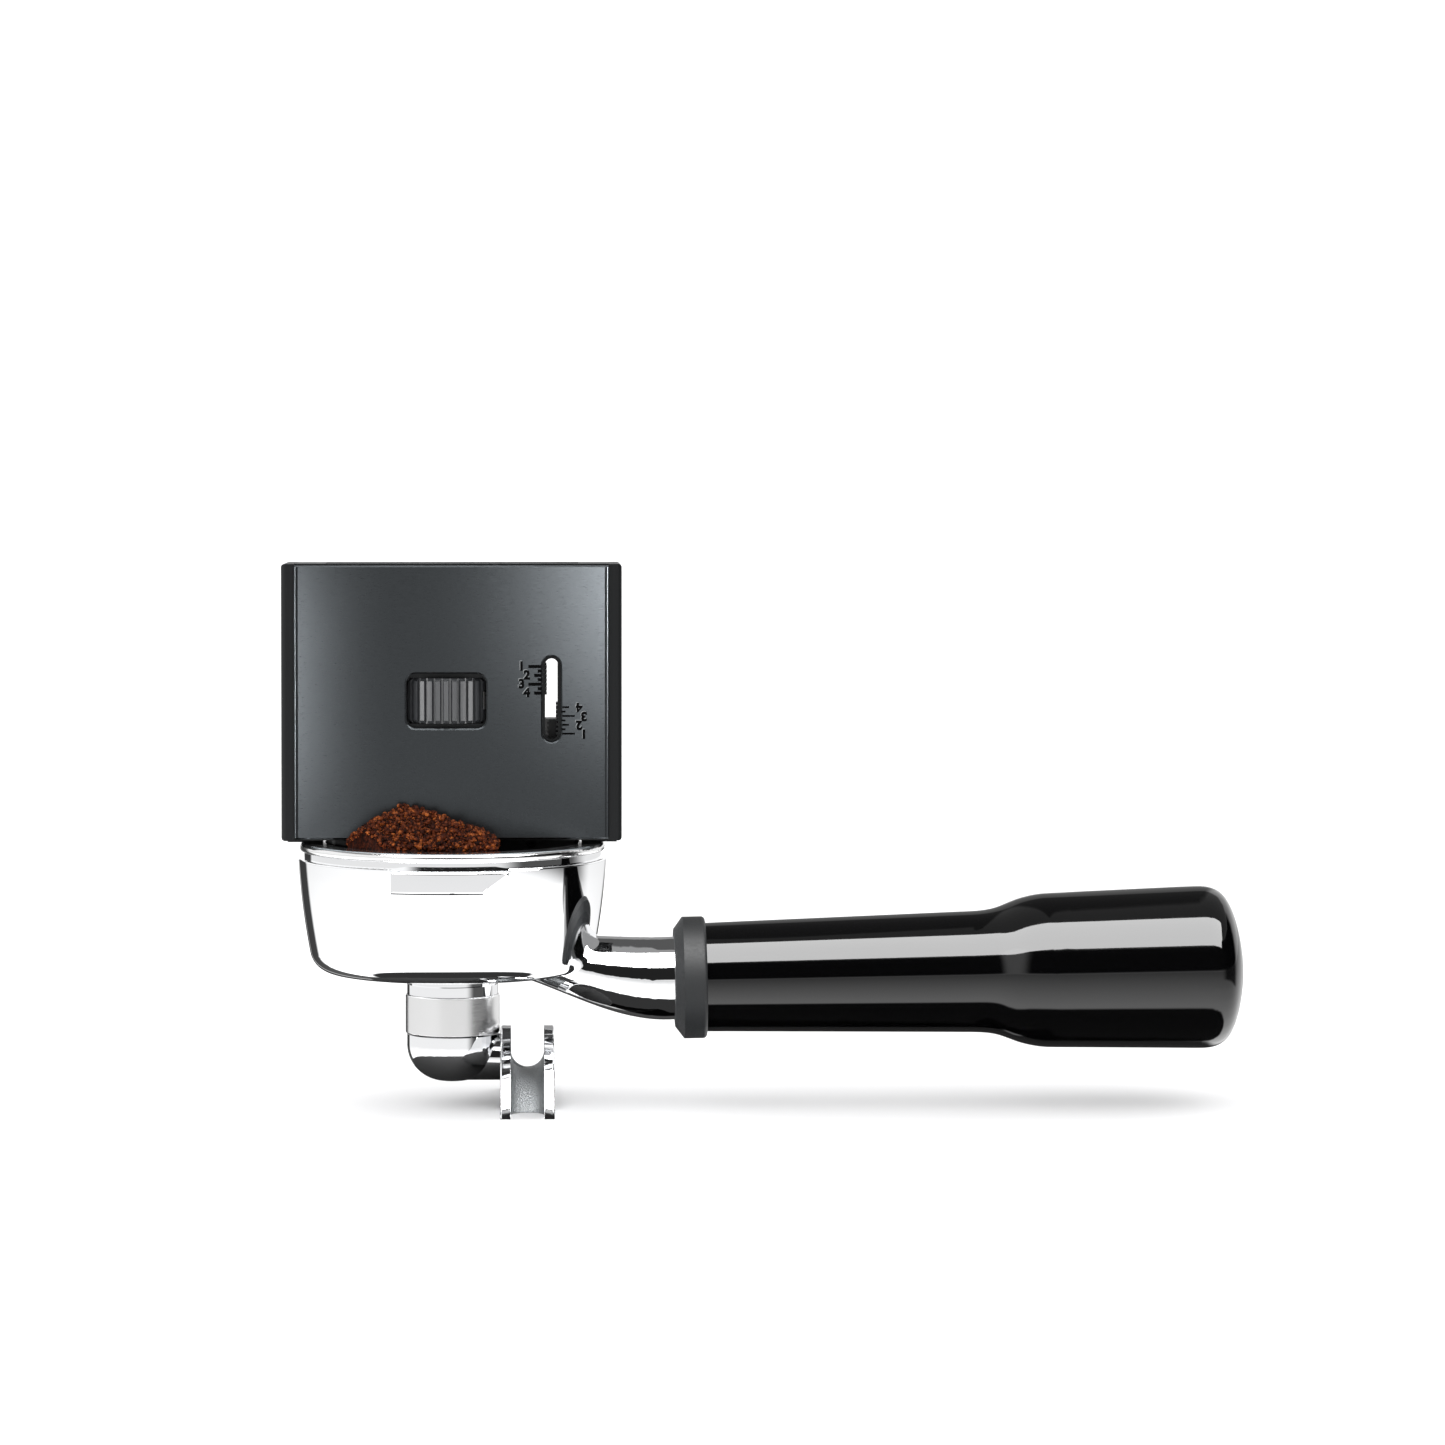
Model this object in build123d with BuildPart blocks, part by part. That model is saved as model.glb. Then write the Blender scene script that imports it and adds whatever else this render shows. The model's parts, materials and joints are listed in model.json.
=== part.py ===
"""Espresso portafilter with a filter basket, ground coffee and a dose-trimming tool.

Millimetres. The origin is the bowl's axis at the top face of the basket's flange. +Z is up and +X
points along the handle. The trimming tool's front face looks along -Y.
"""
import os
from math import cos, radians, sin

from build123d import *

os.makedirs("parts", exist_ok=True)

# ---- driving dimensions ------------------------------------------------------------------------
running_gap = 0.05          # radial clearance of a turning or sliding fit
soft_gap = 0.3              # space between loose coffee and what moves over it
cut_margin = 1.0            # how far a cut runs past the face it opens

# filter basket, for a 58 mm group
basket_inner_r = 29.0
basket_wall = 0.65
flange_r = 34.8
flange_h = 2.0
flange_edge_r = 0.95
basket_depth = 24.0
basket_taper_z = -18.0
basket_floor_r = 27.0
basket_hole_r = 0.4
basket_hole_pitch = 3.9
basket_hole_rings = 6
basket_holes_per_ring = 6

# bowl
rim_r = 33.95
rim_h = 1.4
bowl_top_r = 35.2
bowl_mid_r = 33.85
bowl_mid_z = -16.7
bowl_base_r = 31.5
bowl_base_z = -29.6
bowl_corner_r = 5.5
bowl_edge_r = 0.5
cavity_r = 30.6
cavity_taper_z = -18.4
cavity_floor_r = 25.5
cavity_floor_z = -27.0
outlet_r = 4.5

# bayonet lugs
lug_r = 40.0
lug_w = 26.0
lug_top_z = -3.4
lug_h = 5.2
lug_ramp_l = 5.6
lug_ramp_h = 4.0
lug_edge_r = 0.7

# outlet boss, union ring and seal
boss_r = 10.4
boss_bottom_z = -34.75
boss_groove_w = 0.7
boss_groove_depth = 0.6
stub_r = 8.95
stub_bottom_z = -40.2
ring_r = 10.75
ring_top_z = -34.8
ring_bottom_z = -43.75
ring_lip_h = 1.5
ring_edge_r = 0.35
washer_h = 0.8
washer_inner_r = 5.0
washer_outer_r = 8.6

# elbow
elbow_flange_r = 8.85
elbow_neck_r = 7.5
elbow_top_z = -43.95
elbow_r = 10.4
elbow_bottom_z = -54.7
elbow_bend_r = 8.4
elbow_bore_r = 5.0
elbow_arm_r = 5.35
elbow_arm_end_x = 10.95
elbow_arm_bore_r = 3.0
elbow_spigot_r = 3.9
elbow_arm_bore_z = -48.5

# double spout: a trough bent over an arch, whose two ends point down
spout_w = 12.3
spout_channel_w = 7.6
spout_foot_z = -60.2
spout_wall_top_z = -42.1
spout_channel_z = -51.8
spout_channel_arch_r = 16.7
spout_edge_r = 0.5

# neck sections from the bowl outwards: x, centre z, half width in y, half height in z
neck_sections = (
    (16.0, -26.6, 7.0, 4.6),
    (27.6, -28.6, 9.0, 7.1),
    (38.8, -30.75, 9.6, 8.85),
)

# neck and handle
neck_end_x = 50.7
handle_axis_z = -31.4
handle_tilt = 1.05
neck_r = 9.5
stud_r = 5.0
stud_in_neck = 14.0
stud_chamfer = 0.7
stud_l = 46.0
collar_l = 7.2
collar_r = 13.9
collar_chamfer_l = 2.0
collar_chamfer_r = 2.7
collar_edge_r = 0.9
insert_r = 8.0
insert_l = 30.0
grip_bore_end = 118.0
grip_start_r = 12.4
grip_waist = (68.0, 13.85)
grip_flare = ((74.0, 14.6), (78.5, 16.3), (82.8, 17.35))
grip_swell = (90.0, 17.75)
grip_end = (119.5, 18.55)
grip_dome = ((122.6, 18.4), (125.4, 17.2), (127.5, 14.2), (129.0, 9.6), (129.9, 4.8))
grip_side_slope = 0.027
grip_l = 130.2

# basket spring
spring_wire_r = 0.6
spring_z = -9.6
spring_ring_r = 30.45
spring_gap_angle = 30.0

# coffee
puck_top_z = -10.8
heap_top_z = 9.2
heap_r = 28.6
heap_low_z = -3.0
heap_crest = ((-20.4, 4.4), (-15.6, 7.8), (-8.2, heap_top_z), (-0.3, 6.3), (6.4, 4.6))
heap_left_x = -27.0
heap_right_x = 13.2
heap_crest_w = 3.5
heap_edge_z = -1.0
heap_back_gap = 0.9

# trimming tool
tool_w = 77.0
tool_base_z = 0.98
tool_h = 62.6
tool_half_t = 10.6
tool_edge_r = 1.2
tool_corner_r = 0.8
seat_pad_w = 8.0
seat_pad_t = 2.0
seat_pad_inset = 1.0
cover_w = 71.0
cover_seat_y = 9.0
cover_centre_y = 11.0
cover_side_y = 10.45
cover_inset_z = 0.35
cover_edge = 0.35
window_x = -1.2
window_z = 32.6
window_w = 18.8
window_h = 13.1
window_corner_r = 2.2
window_bevel = 0.7
slot_x = 22.6
slot_z = 33.0
slot_w = 4.86
slot_l = 20.1
slot_bevel = 0.5
liner_w = 2.9
liner_inset_z = 0.9
liner_tooth_l = 0.4
liner_tooth_h = 0.5

# scale beside the slot: the marks number the insert's depth
mark_h = 0.42
mark_floor_y = 10.5
mark_pitch = 2.0
left_mark_top_z = 40.2
right_mark_low_z = 25.2
mark_long = 2.8
mark_short = 1.5
mark_half = 0.7
mark_numbers = 4

# thumbwheel
wheel_r = 11.5
wheel_h = 10.2
wheel_ribs = 38
wheel_groove_depth = 0.7
wheel_groove_w = 1.0
wheel_groove_over = 0.1
wheel_chamfer = 0.65
wheel_pocket_gap = 0.1
wheel_side_gap = 0.5
wheel_groove_angle = 72.0
wheel_nut_r = 4.2
detent_t = 0.3
detent_h = 4.0
detent_start = 28.0
detent_sweep = 18.0

# blade carrier, blades and lead screw
carrier_w = 57.3
carrier_half_t = 4.1
carrier_gap = 0.1
carrier_corner_r = 2.0
carrier_nose = 2.6
blade_t = 1.0
blade_h = 10.5
blade_tip_z = -7.5
blade_other_tip_z = 62.9
blade_proud = 1.2
blade_bevel = 0.4
carrier_up = 12.1
carrier_down = 2.9
index_z = 28.1
index_window_w = 6.0
index_window_top_z = 47.2
lead_screw_r = 2.5
lead_screw_grip = 4.0

# screws
screw_r = 1.25
screw_head_r = 2.3
screw_head_h = 1.6
hex_socket_r = 0.85
frame_screw_x = 32.0
frame_screw_z = (9.0, 55.6)
frame_screw_tip_y = -8.0
blade_screw_x = 18.0
blade_screw_rise = 7.5


# ---- portafilter -------------------------------------------------------------------------------
handle_dir = Vector(cos(radians(handle_tilt)), 0, sin(radians(handle_tilt)))
handle_start = Vector(neck_end_x, 0, handle_axis_z)
handle_section = Plane(origin=handle_start, x_dir=handle_dir, z_dir=(0, -1, 0))
handle_end_on = Plane(origin=handle_start, x_dir=(0, 1, 0), z_dir=handle_dir)
handle_axis = Axis(handle_start, handle_dir)

with BuildPart() as bowl_casting:
    # bayonet lugs, one at the front and one at the rear
    with BuildSketch(Plane.XY.offset(lug_top_z - lug_h)):
        Circle(lug_r)
        Rectangle(lug_w, 2 * lug_r, mode=Mode.INTERSECT)
    extrude(amount=lug_h)
    # run-in ramp under one end of each lug
    for side in (-1, 1):
        with BuildSketch(Plane.XZ):
            with BuildLine():
                Polyline((-side * (lug_w / 2 - lug_ramp_l), lug_top_z - lug_h),
                         (-side * lug_w / 2, lug_top_z - lug_h + lug_ramp_h),
                         (-side * lug_w / 2, lug_top_z - lug_h), close=True)
            make_face()
        extrude(amount=-side * lug_r, mode=Mode.SUBTRACT)
    lug_edges = [e for e in bowl_casting.edges()
                 if Vector(e.center().X, e.center().Y).length > lug_r - lug_edge_r]
    fillet(lug_edges, lug_edge_r)
    # bowl
    with BuildSketch(Plane.XZ):
        with BuildLine():
            Polyline((0, bowl_base_z), (0, -flange_h), (rim_r, -flange_h), (rim_r, -flange_h - rim_h),
                     (bowl_top_r, -flange_h - rim_h))
            ThreePointArc((bowl_top_r, -flange_h - rim_h), (bowl_mid_r, bowl_mid_z),
                          (bowl_base_r, bowl_base_z))
            Line((bowl_base_r, bowl_base_z), (0, bowl_base_z))
        make_face()
        fillet(vertices().sort_by_distance((bowl_base_r, bowl_base_z))[0], bowl_corner_r)
        fillet(vertices().group_by(Axis.X)[-1], bowl_edge_r)
    revolve(axis=Axis.Z)
    # neck
    for x, z, half_y, half_z in neck_sections:
        with BuildSketch(Plane(origin=(x, 0, z), x_dir=(0, 1, 0), z_dir=(1, 0, 0))):
            Ellipse(half_y, half_z)
    with BuildSketch(handle_end_on):
        Circle(neck_r)
    loft()
    # outlet boss and threaded stub
    with BuildSketch(Plane.XY.offset(bowl_base_z + cut_margin)):
        Circle(boss_r)
    extrude(amount=boss_bottom_z - bowl_base_z - cut_margin)
    with BuildSketch(Plane.XY.offset(boss_bottom_z)):
        Circle(stub_r)
    extrude(amount=stub_bottom_z - boss_bottom_z)
    with BuildSketch(Plane.XY.offset((bowl_base_z + boss_bottom_z) / 2 - boss_groove_w / 2)):
        Circle(boss_r + cut_margin)
        Circle(boss_r - boss_groove_depth, mode=Mode.SUBTRACT)
    extrude(amount=boss_groove_w, mode=Mode.SUBTRACT)
    # inside of the bowl, the spring's groove and the outlet
    with BuildSketch(Plane.XZ):
        with BuildLine():
            Polyline((0, 0), (cavity_r, 0), (cavity_r, cavity_taper_z), (cavity_floor_r, cavity_floor_z),
                     (outlet_r, cavity_floor_z), (outlet_r, stub_bottom_z - cut_margin),
                     (0, stub_bottom_z - cut_margin), close=True)
        make_face()
    revolve(axis=Axis.Z, mode=Mode.SUBTRACT)
    with BuildSketch(Plane.XZ):
        with Locations((cavity_r, spring_z)):
            Rectangle(2 * spring_wire_r, 2 * (spring_wire_r + running_gap))
    revolve(axis=Axis.Z, mode=Mode.SUBTRACT)
    # blind hole for the handle's stud
    with BuildSketch(handle_end_on):
        Circle(stud_r)
    extrude(amount=-stud_in_neck, mode=Mode.SUBTRACT)
bowl_casting.part.label = "bowl_casting"

with BuildPart() as basket_spring:
    with BuildLine(Plane.XY.offset(spring_z)) as spring_path:
        CenterArc((0, 0), spring_ring_r, spring_gap_angle / 2 + 90, 360 - spring_gap_angle)
    with BuildSketch(spring_path.line ^ 0):
        Circle(spring_wire_r)
    sweep()
basket_spring.part.label = "basket_spring"

with BuildPart() as spout_collar:
    with BuildSketch(Plane.XY.offset(ring_bottom_z)):
        Circle(ring_r)
    extrude(amount=ring_top_z - ring_bottom_z)
    fillet(spout_collar.edges(), ring_edge_r)
    with BuildSketch(Plane.XY.offset(ring_bottom_z + ring_lip_h)):
        Circle(stub_r)
    extrude(amount=ring_top_z - ring_bottom_z, mode=Mode.SUBTRACT)
    with BuildSketch(Plane.XY.offset(ring_bottom_z)):
        Circle(elbow_neck_r + running_gap)
    extrude(amount=ring_lip_h, mode=Mode.SUBTRACT)
spout_collar.part.label = "spout_collar"

with BuildPart() as spout_washer:
    with BuildSketch(Plane.XY.offset(stub_bottom_z - washer_h)):
        Circle(washer_outer_r)
        Circle(washer_inner_r, mode=Mode.SUBTRACT)
    extrude(amount=washer_h)
spout_washer.part.label = "spout_washer"

with BuildPart() as spout_elbow:
    with BuildSketch(Plane.XZ):
        with BuildLine():
            Polyline((0, elbow_bottom_z), (elbow_r, elbow_bottom_z), (elbow_r, elbow_top_z),
                     (elbow_neck_r, elbow_top_z), (elbow_neck_r, ring_bottom_z + ring_lip_h + running_gap),
                     (elbow_flange_r, ring_bottom_z + ring_lip_h + running_gap),
                     (elbow_flange_r, stub_bottom_z - washer_h), (0, stub_bottom_z - washer_h), close=True)
        make_face()
        fillet(vertices().sort_by_distance((elbow_r, elbow_bottom_z))[0], elbow_bend_r)
    revolve(axis=Axis.Z)
    arm_z = elbow_bottom_z + elbow_arm_r
    with BuildSketch(Plane.YZ):
        with Locations((0, arm_z)):
            Circle(elbow_arm_r)
    extrude(amount=elbow_arm_end_x)
    with BuildSketch(Plane.YZ.offset(elbow_arm_end_x)):
        with Locations((0, elbow_arm_bore_z)):
            Circle(elbow_spigot_r)
    extrude(amount=(spout_w - spout_channel_w) / 2)
    with BuildSketch(Plane.XY.offset(elbow_arm_bore_z - elbow_arm_bore_r)):
        Circle(elbow_bore_r)
    extrude(amount=stub_bottom_z - elbow_arm_bore_z + elbow_arm_bore_r, mode=Mode.SUBTRACT)
    with BuildSketch(Plane.YZ):
        with Locations((0, elbow_arm_bore_z)):
            Circle(elbow_arm_bore_r)
    extrude(amount=elbow_arm_end_x + spout_w, mode=Mode.SUBTRACT)
spout_elbow.part.label = "spout_elbow"

spout_arch_z = spout_channel_z - spout_channel_arch_r
spout_outer_r = spout_wall_top_z - spout_arch_z
spout_under_r = elbow_bottom_z - spout_arch_z
spout_mid_x = elbow_arm_end_x + spout_w / 2
channel_r = spout_channel_w / 2
arch_axis = Axis((spout_mid_x, 0, spout_arch_z), (1, 0, 0))
with BuildPart() as double_spout:
    with BuildSketch(Plane.XZ):
        with Locations((spout_mid_x, spout_arch_z + (spout_outer_r + spout_under_r) / 2)):
            Rectangle(spout_w, spout_outer_r - spout_under_r)
        fillet(vertices(), spout_edge_r)
    revolve(axis=arch_axis)
    with BuildSketch(Plane.XZ):
        with Locations((spout_mid_x, spout_channel_z + channel_r)):
            Circle(channel_r)
        with Locations((spout_mid_x, spout_channel_z + channel_r + spout_outer_r / 2)):
            Rectangle(spout_channel_w, spout_outer_r)
    revolve(axis=arch_axis, mode=Mode.SUBTRACT)
    split(bisect_by=Plane.XY.offset(spout_foot_z), keep=Keep.TOP)
    with BuildSketch(Plane.YZ.offset(elbow_arm_end_x - cut_margin)):
        with Locations((0, elbow_arm_bore_z)):
            Circle(elbow_spigot_r)
    extrude(amount=spout_w / 2, mode=Mode.SUBTRACT)
double_spout.part.label = "double_spout"

with BuildPart() as handle_stud:
    with BuildSketch(handle_end_on.offset(-stud_in_neck)):
        Circle(stud_r)
    extrude(amount=stud_l)
    chamfer(handle_stud.edges().filter_by(GeomType.CIRCLE), stud_chamfer)
handle_stud.part.label = "handle_stud"

with BuildPart() as handle_collar:
    with BuildSketch(handle_section):
        with BuildLine():
            Polyline((0, stud_r), (0, collar_r - collar_chamfer_r), (collar_chamfer_l, collar_r),
                     (collar_l, collar_r), (collar_l, stud_r), close=True)
        make_face()
        fillet(vertices().sort_by_distance((collar_l, collar_r))[0], collar_edge_r)
    revolve(axis=handle_axis)
handle_collar.part.label = "handle_collar"

with BuildPart() as handle_insert:
    with BuildSketch(handle_end_on.offset(collar_l)):
        Circle(insert_r)
        Circle(stud_r, mode=Mode.SUBTRACT)
    extrude(amount=insert_l)
handle_insert.part.label = "handle_insert"

with BuildPart() as handle_grip:
    with BuildSketch(handle_section):
        with BuildLine():
            Polyline((grip_bore_end, insert_r), (collar_l, insert_r), (collar_l, grip_start_r), grip_waist)
            Spline(grip_waist, *grip_flare, grip_swell, tangents=[(1, grip_side_slope), (1, grip_side_slope)])
            Line(grip_swell, grip_end)
            Spline(grip_end, *grip_dome, (grip_l, 0), tangents=[(1, grip_side_slope), (0, -1)],
                   tangent_scalars=(1, 1))
            Polyline((grip_l, 0), (grip_bore_end, 0), (grip_bore_end, insert_r))
        make_face()
    revolve(axis=handle_axis)
handle_grip.part.label = "handle_grip"

# ---- filter basket and coffee ------------------------------------------------------------------
basket_outer_r = basket_inner_r + basket_wall
basket_floor_top_z = basket_wall - basket_depth
puck_r = basket_inner_r - soft_gap / 2
puck_floor_r = basket_floor_r - basket_wall / 2 - soft_gap
with BuildPart() as filter_basket:
    with BuildSketch(Plane.XZ):
        with BuildLine():
            Polyline((0, -basket_depth), (basket_floor_r, -basket_depth), (basket_outer_r, basket_taper_z),
                     (basket_outer_r, -flange_h), (flange_r, -flange_h), (flange_r, 0),
                     (basket_inner_r, 0), (basket_inner_r, basket_taper_z),
                     (basket_floor_r - basket_wall / 2, basket_floor_top_z), (0, basket_floor_top_z),
                     close=True)
        make_face()
        fillet(vertices().group_by(Axis.X)[-1], flange_edge_r)
    revolve(axis=Axis.Z)
    with BuildSketch(Plane.XY.offset(-basket_depth - cut_margin)):
        Circle(basket_hole_r)
        for ring in range(1, basket_hole_rings + 1):
            with PolarLocations(ring * basket_hole_pitch, ring * basket_holes_per_ring):
                Circle(basket_hole_r)
    extrude(amount=basket_wall + 2 * cut_margin, mode=Mode.SUBTRACT)
filter_basket.part.label = "filter_basket"

with BuildPart() as coffee_puck:
    with BuildSketch(Plane.XZ):
        with BuildLine():
            Polyline((0, basket_floor_top_z), (puck_floor_r, basket_floor_top_z),
                     (puck_r, basket_taper_z), (puck_r, puck_top_z),
                     (0, puck_top_z), close=True)
        make_face()
    revolve(axis=Axis.Z)
coffee_puck.part.label = "coffee_puck"

heap_back_y = -cover_centre_y - heap_back_gap
heap_base_z = puck_top_z + soft_gap
with BuildPart() as loose_grounds:
    with BuildSketch(Plane.XZ):
        with BuildLine():
            Spline((heap_left_x, heap_low_z), *heap_crest, (heap_right_x, heap_low_z))
            Polyline((heap_right_x, heap_low_z), (heap_right_x, heap_base_z), (heap_left_x, heap_base_z),
                     (heap_left_x, heap_low_z))
        make_face()
    extrude(amount=heap_r)
    with BuildSketch(Plane.YZ.offset(-heap_r)):
        with BuildLine():
            Polyline((heap_back_y, heap_base_z), (heap_back_y, heap_top_z),
                     (heap_back_y - heap_crest_w, heap_top_z), (-heap_r, heap_edge_z), (-heap_r, heap_base_z),
                     close=True)
        make_face()
    extrude(amount=2 * heap_r, mode=Mode.INTERSECT)
    with BuildSketch(Plane.XY.offset(heap_base_z)):
        Circle(heap_r)
    extrude(amount=heap_top_z - heap_base_z, mode=Mode.INTERSECT)
loose_grounds.part.label = "loose_grounds"

# ---- trimming tool: frame and covers -----------------------------------------------------------
channel_half_t = carrier_half_t + carrier_gap
channel_half_w = carrier_w / 2 + carrier_gap
pocket_r = wheel_r + detent_t + wheel_side_gap
liner_tooth_x = (liner_w - liner_tooth_l) / 2
seat_pad_x = (tool_w - seat_pad_w) / 2 - seat_pad_inset
pocket_h = wheel_h + 2 * wheel_pocket_gap
with BuildPart() as frame_front:
    with BuildSketch(Plane.XY.offset(tool_base_z)):
        with Locations((0, -tool_half_t / 2)):
            Rectangle(tool_w, tool_half_t)
        fillet(vertices().group_by(Axis.Y)[0], tool_edge_r)
        with Locations((0, -(tool_half_t + cover_seat_y) / 2)):
            Rectangle(cover_w, tool_half_t - cover_seat_y, mode=Mode.SUBTRACT)
        Rectangle(2 * channel_half_w, 2 * channel_half_t, mode=Mode.SUBTRACT)
    extrude(amount=tool_h)
    with BuildSketch(Plane.XZ):
        with Locations((0, tool_base_z + tool_h / 2)):
            RectangleRounded(tool_w, tool_h, tool_corner_r)
    extrude(amount=tool_half_t, mode=Mode.INTERSECT)
    # pads under the frame that rest on the basket's flange
    with BuildSketch(Plane.XY):
        with Locations((-seat_pad_x, -seat_pad_t / 2), (seat_pad_x, -seat_pad_t / 2)):
            Rectangle(seat_pad_w, seat_pad_t)
    extrude(amount=tool_base_z)
    with BuildSketch(Plane.XY.offset(window_z - pocket_h / 2)):
        with Locations((window_x, 0)):
            Circle(pocket_r)
    extrude(amount=pocket_h, mode=Mode.SUBTRACT)
    with BuildSketch(Plane.XZ):
        with Locations((window_x, window_z)):
            RectangleRounded(window_w, pocket_h, window_corner_r)
        with Locations((slot_x, slot_z)):
            SlotOverall(slot_l - 2 * liner_inset_z, liner_w, rotation=90)
        for number in range(2 * mark_numbers - 1):
            step = number * mark_pitch / 2
            with Locations((slot_x - liner_tooth_x, left_mark_top_z - step),
                           (slot_x + liner_tooth_x, right_mark_low_z + step)):
                Rectangle(liner_tooth_l, liner_tooth_h, mode=Mode.SUBTRACT)
    extrude(amount=tool_half_t, mode=Mode.SUBTRACT)
    with BuildSketch(Plane.XZ):
        for z in frame_screw_z:
            with Locations((-frame_screw_x, z), (frame_screw_x, z)):
                Circle(screw_r)
    extrude(amount=-frame_screw_tip_y, mode=Mode.SUBTRACT)
frame_front.part.label = "frame_front"

with BuildPart() as frame_rear:
    mirror(frame_front.part, about=Plane.XZ)
    with BuildSketch(Plane.XZ.offset(-cover_seat_y)):
        for z in frame_screw_z:
            with Locations((-frame_screw_x, z), (frame_screw_x, z)):
                Circle(screw_head_r)
    extrude(amount=screw_head_h, mode=Mode.SUBTRACT)
frame_rear.part.label = "frame_rear"


def near_outline(edge, x, z, w, h):
    """True for an edge of the front cover's outer face on the outline of an opening."""
    centre = edge.center()
    in_opening = abs(centre.X - x) <= w / 2 + running_gap and abs(centre.Z - z) <= h / 2 + running_gap
    return in_opening and centre.Y < -cover_side_y


with BuildPart() as front_cover:
    with BuildSketch(Plane.XY.offset(tool_base_z + cover_inset_z)):
        with BuildLine():
            ThreePointArc((-cover_w / 2, -cover_side_y), (0, -cover_centre_y), (cover_w / 2, -cover_side_y))
            Polyline((cover_w / 2, -cover_side_y), (cover_w / 2, -cover_seat_y),
                     (-cover_w / 2, -cover_seat_y), (-cover_w / 2, -cover_side_y))
        make_face()
    extrude(amount=tool_h - 2 * cover_inset_z)
    outer_face = front_cover.faces().sort_by(Axis.Y)[0]
    chamfer(outer_face.edges(), cover_edge)
    with BuildSketch(Plane.XZ):
        with Locations((window_x, window_z)):
            RectangleRounded(window_w - window_bevel, window_h - window_bevel, window_corner_r)
        with Locations((slot_x, slot_z)):
            SlotOverall(slot_l - slot_bevel, slot_w - slot_bevel, rotation=90)
    extrude(amount=cover_centre_y + cut_margin, mode=Mode.SUBTRACT)
    chamfer([e for e in front_cover.edges() if near_outline(e, window_x, window_z, window_w, window_h)],
            window_bevel / 2)
    chamfer([e for e in front_cover.edges() if near_outline(e, slot_x, slot_z, slot_w, slot_l)],
            slot_bevel / 2)
    # engraved scale marks: long, short, long, short, with half marks between them
    with BuildSketch(Plane.XZ.offset(mark_floor_y)):
        for number in range(mark_numbers):
            mark_l = mark_short if number % 2 else mark_long
            with Locations((slot_x - slot_w / 2 - mark_l / 2, left_mark_top_z - number * mark_pitch)):
                Rectangle(mark_l, mark_h)
            with Locations((slot_x + slot_w / 2 + mark_l / 2, right_mark_low_z + number * mark_pitch)):
                Rectangle(mark_l, mark_h)
        for number in range(mark_numbers - 1):
            half_step = (number + 0.5) * mark_pitch
            with Locations((slot_x - slot_w / 2 - mark_half / 2, left_mark_top_z - half_step),
                           (slot_x + slot_w / 2 + mark_half / 2, right_mark_low_z + half_step)):
                Rectangle(mark_half, mark_h)
    extrude(amount=cover_centre_y - mark_floor_y + cut_margin, mode=Mode.SUBTRACT)
front_cover.part.label = "front_cover"

with BuildPart() as rear_cover:
    mirror(front_cover.part, about=Plane.XZ)
rear_cover.part.label = "rear_cover"

with BuildPart() as frame_screws:
    for z in frame_screw_z:
        for x in (-frame_screw_x, frame_screw_x):
            with BuildSketch(Plane(origin=(x, frame_screw_tip_y, z), z_dir=(0, 1, 0))):
                Circle(screw_r)
            extrude(amount=cover_seat_y - screw_head_h - frame_screw_tip_y)
            with BuildSketch(Plane(origin=(x, cover_seat_y - screw_head_h, z), z_dir=(0, 1, 0))):
                Circle(screw_head_r)
                RegularPolygon(hex_socket_r, 6, mode=Mode.SUBTRACT)
            extrude(amount=screw_head_h)
frame_screws.part.label = "frame_screws"

with BuildPart() as detent_springs:
    for start in (-detent_start - detent_sweep, detent_start):
        with BuildSketch(Plane(origin=(window_x, 0, window_z - detent_h / 2))):
            with BuildLine():
                inner = CenterArc((0, 0), pocket_r - detent_t, start, detent_sweep)
                outer = CenterArc((0, 0), pocket_r, start, detent_sweep)
                Line(inner @ 0, outer @ 0)
                Line(inner @ 1, outer @ 1)
            make_face()
        extrude(amount=detent_h)
detent_springs.part.label = "detent_springs"

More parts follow.
